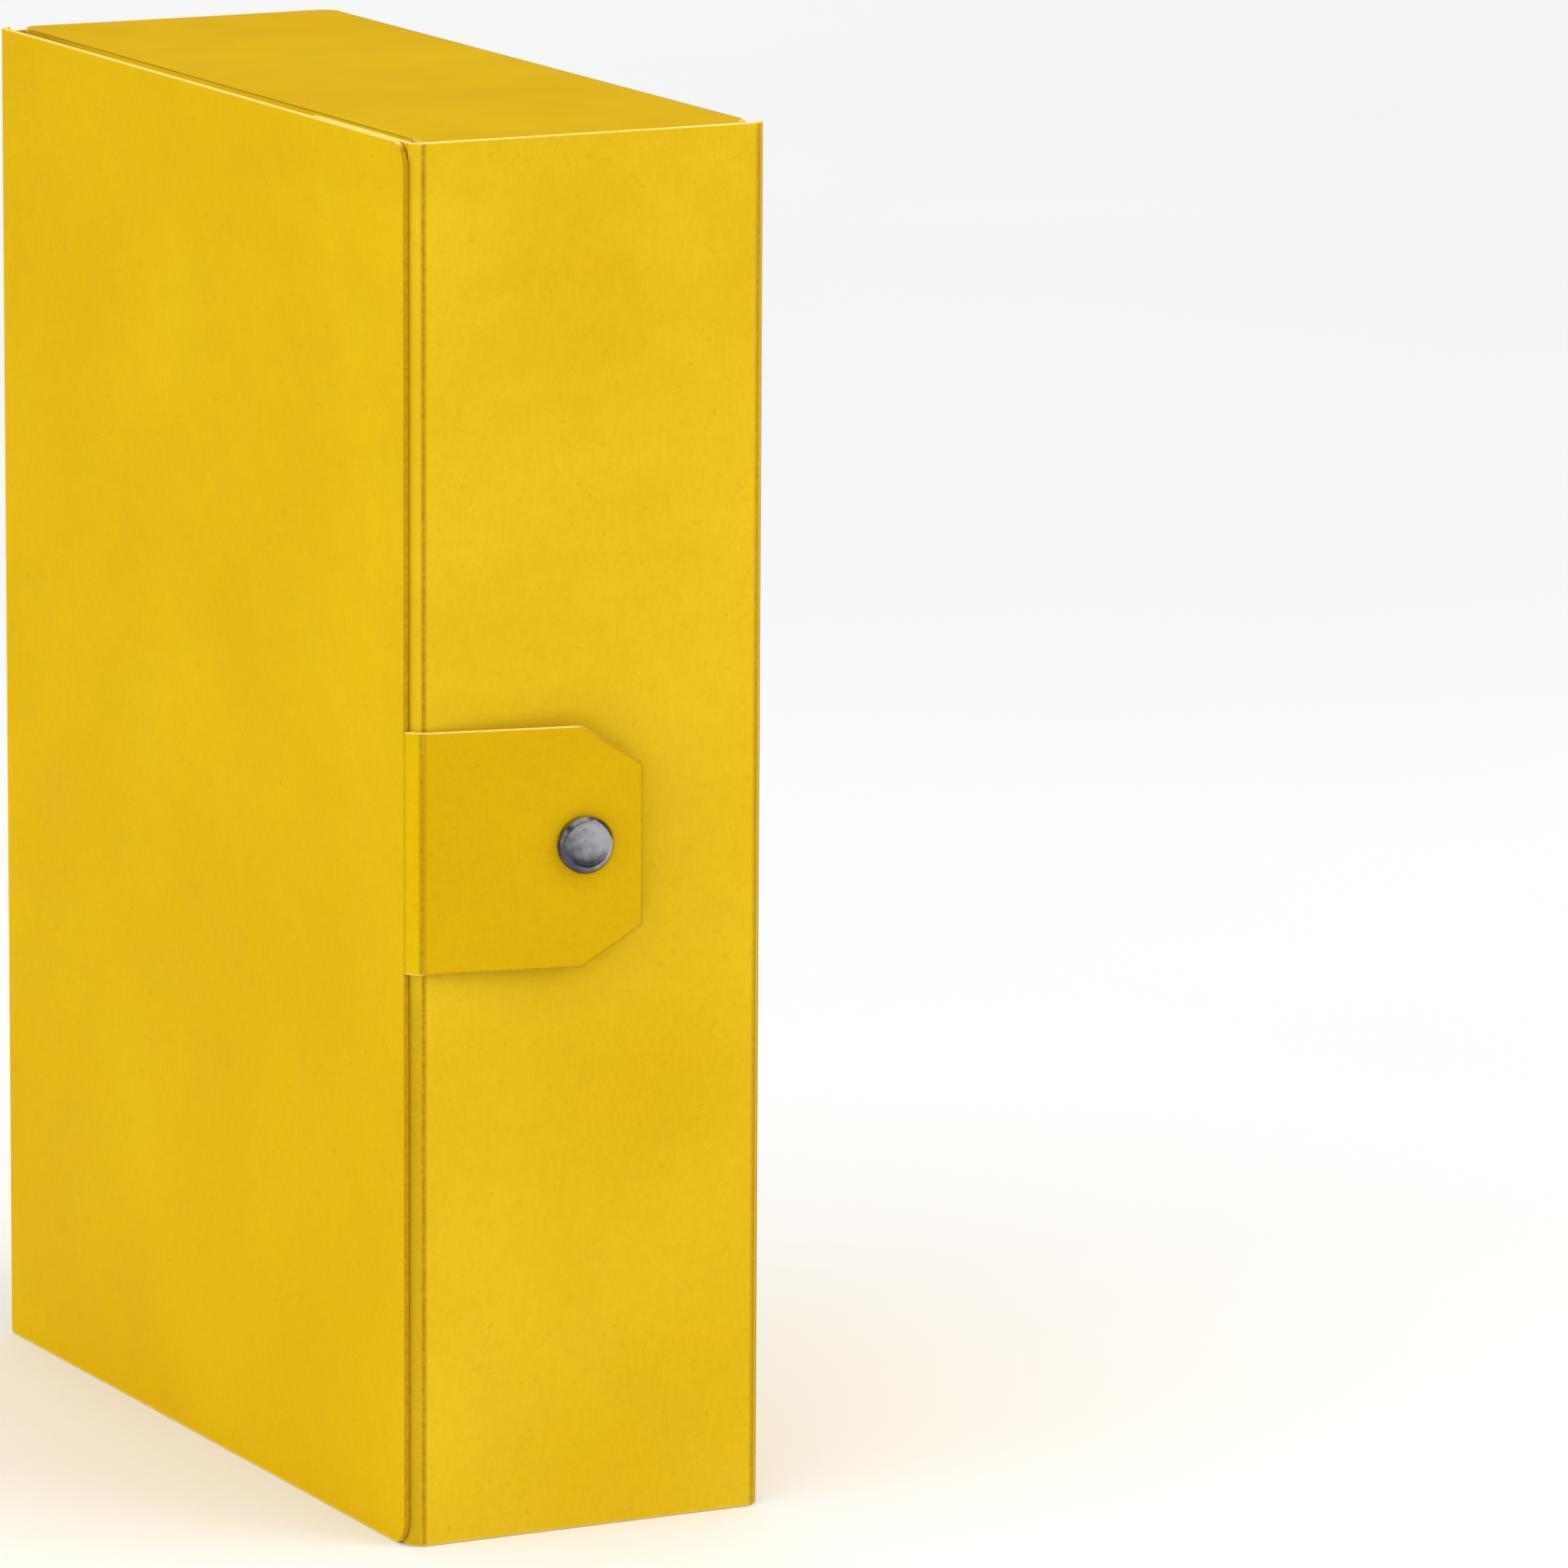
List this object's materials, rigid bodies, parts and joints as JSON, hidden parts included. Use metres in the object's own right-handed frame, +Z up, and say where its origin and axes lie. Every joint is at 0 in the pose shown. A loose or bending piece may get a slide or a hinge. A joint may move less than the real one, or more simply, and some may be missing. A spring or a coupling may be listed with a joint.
{
  "type": "document file box",
  "caption": "Upright pressboard document box with an overlapping cover, fold-out end walls with tuck flaps, and a tab that closes with a snap button.",
  "frame": {"origin": "middle of the footprint of the closed box's body, on the surface it stands on", "axes": "+Z up along the standing box; -Y towards the face with the tab; +Y towards the spine; -X towards the cover that opens; +X towards the back cover"},
  "size_m": [0.098, 0.2594, 0.35],
  "materials": {
    "yellow_board": "satin, glazed pressboard",
    "flap_board": "satin, glazed pressboard",
    "cap_metal": "dark nickel plate",
    "fitting_metal": "nickel plate",
    "spring_wire": "bright wire"
  },
  "bodies": {
    "box": {"back_cover": "yellow_board", "spine": "yellow_board", "spine_back_crease": "yellow_board", "spine_cover_crease": "yellow_board"},
    "cover": {"front_cover": "yellow_board"},
    "tab_crease": {"tab_crease": "yellow_board"},
    "tab": {"closing_tab": "yellow_board", "snap_cap": "cap_metal", "snap_socket": "fitting_metal", "snap_spring": "spring_wire"},
    "fore_edge_back_crease": {"fore_edge_back_crease": "yellow_board"},
    "fore_edge": {"fore_edge_wall": "yellow_board", "snap_stud": "fitting_metal", "stud_eyelet": "fitting_metal"},
    "fore_edge_flap_crease": {"fore_edge_flap_crease": "yellow_board"},
    "fore_edge_flap": {"fore_edge_flap": "flap_board"},
    "top_back_crease": {"top_back_crease": "yellow_board"},
    "top_wall": {"top_wall": "yellow_board"},
    "top_flap_crease": {"top_flap_crease": "yellow_board"},
    "top_flap": {"top_flap": "flap_board"},
    "bottom_back_crease": {"bottom_back_crease": "yellow_board"},
    "bottom_wall": {"bottom_wall": "yellow_board"},
    "bottom_flap_crease": {"bottom_flap_crease": "yellow_board"},
    "bottom_flap": {"bottom_flap": "flap_board"}
  },
  "joints": [
    {"name": "cover_open", "type": "hinge", "parent": "box", "child": "cover", "pos_m": [-0.049, 0.12252, 0.175], "axis": [0, 0, -1], "range_deg": [0, 180]},
    {"name": "tab_open", "type": "hinge", "parent": "cover", "child": "tab_crease", "pos_m": [-0.049, -0.12322, 0.175], "axis": [0, 0, -1], "range_deg": [0, 75]},
    {"name": "tab_face_score", "type": "hinge", "parent": "tab_crease", "child": "tab", "pos_m": [-0.04542, -0.1268, 0.175], "axis": [0, 0, -1], "range_deg": [0, 75]},
    {"name": "fore_edge_back_score", "type": "hinge", "parent": "box", "child": "fore_edge_back_crease", "pos_m": [0.049, -0.12252, 0.175], "axis": [0, 0, 1], "range_deg": [0, 30]},
    {"name": "fore_edge_wall_score", "type": "hinge", "parent": "fore_edge_back_crease", "child": "fore_edge", "pos_m": [0.04652, -0.125, 0.175], "axis": [0, 0, 1], "range_deg": [0, 30]},
    {"name": "fore_edge_flap_outer_score", "type": "hinge", "parent": "fore_edge", "child": "fore_edge_flap_crease", "pos_m": [-0.04503, -0.125, 0.175], "axis": [0, 0, 1], "range_deg": [0, 45]},
    {"name": "fore_edge_flap_score", "type": "hinge", "parent": "fore_edge_flap_crease", "child": "fore_edge_flap", "pos_m": [-0.0475, -0.12252, 0.175], "axis": [0, 0, 1], "range_deg": [0, 45]},
    {"name": "top_wall_open", "type": "hinge", "parent": "box", "child": "top_back_crease", "pos_m": [0.049, 0, 0.34752], "axis": [0, 1, 0], "range_deg": [0, 45]},
    {"name": "top_wall_score", "type": "hinge", "parent": "top_back_crease", "child": "top_wall", "pos_m": [0.04652, 0, 0.35], "axis": [0, 1, 0], "range_deg": [0, 45]},
    {"name": "top_flap_outer_score", "type": "hinge", "parent": "top_wall", "child": "top_flap_crease", "pos_m": [-0.04353, 0, 0.35], "axis": [0, -1, 0], "range_deg": [0, 45]},
    {"name": "top_flap_score", "type": "hinge", "parent": "top_flap_crease", "child": "top_flap", "pos_m": [-0.046, 0, 0.34752], "axis": [0, -1, 0], "range_deg": [0, 45]},
    {"name": "bottom_wall_open", "type": "hinge", "parent": "box", "child": "bottom_back_crease", "pos_m": [0.049, 0, 0.00248], "axis": [0, -1, 0], "range_deg": [0, 45]},
    {"name": "bottom_wall_score", "type": "hinge", "parent": "bottom_back_crease", "child": "bottom_wall", "pos_m": [0.04652, 0, 0], "axis": [0, -1, 0], "range_deg": [0, 45]},
    {"name": "bottom_flap_outer_score", "type": "hinge", "parent": "bottom_wall", "child": "bottom_flap_crease", "pos_m": [-0.04353, 0, 0], "axis": [0, 1, 0], "range_deg": [0, 45]},
    {"name": "bottom_flap_score", "type": "hinge", "parent": "bottom_flap_crease", "child": "bottom_flap", "pos_m": [-0.046, 0, 0.00248], "axis": [0, 1, 0], "range_deg": [0, 45]}
  ],
  "couplings": [
    {"joint": "fore_edge_back_score", "follows": "cover_open", "ratio": 0.16667},
    {"joint": "fore_edge_wall_score", "follows": "cover_open", "ratio": 0.16667},
    {"joint": "fore_edge_flap_outer_score", "follows": "cover_open", "ratio": 0.25},
    {"joint": "fore_edge_flap_score", "follows": "cover_open", "ratio": 0.25},
    {"joint": "tab_face_score", "follows": "tab_open", "ratio": 1},
    {"joint": "top_wall_score", "follows": "top_wall_open", "ratio": 1},
    {"joint": "top_flap_outer_score", "follows": "top_wall_open", "ratio": 1},
    {"joint": "top_flap_score", "follows": "top_wall_open", "ratio": 1},
    {"joint": "bottom_wall_score", "follows": "bottom_wall_open", "ratio": 1},
    {"joint": "bottom_flap_outer_score", "follows": "bottom_wall_open", "ratio": 1},
    {"joint": "bottom_flap_score", "follows": "bottom_wall_open", "ratio": 1}
  ]
}
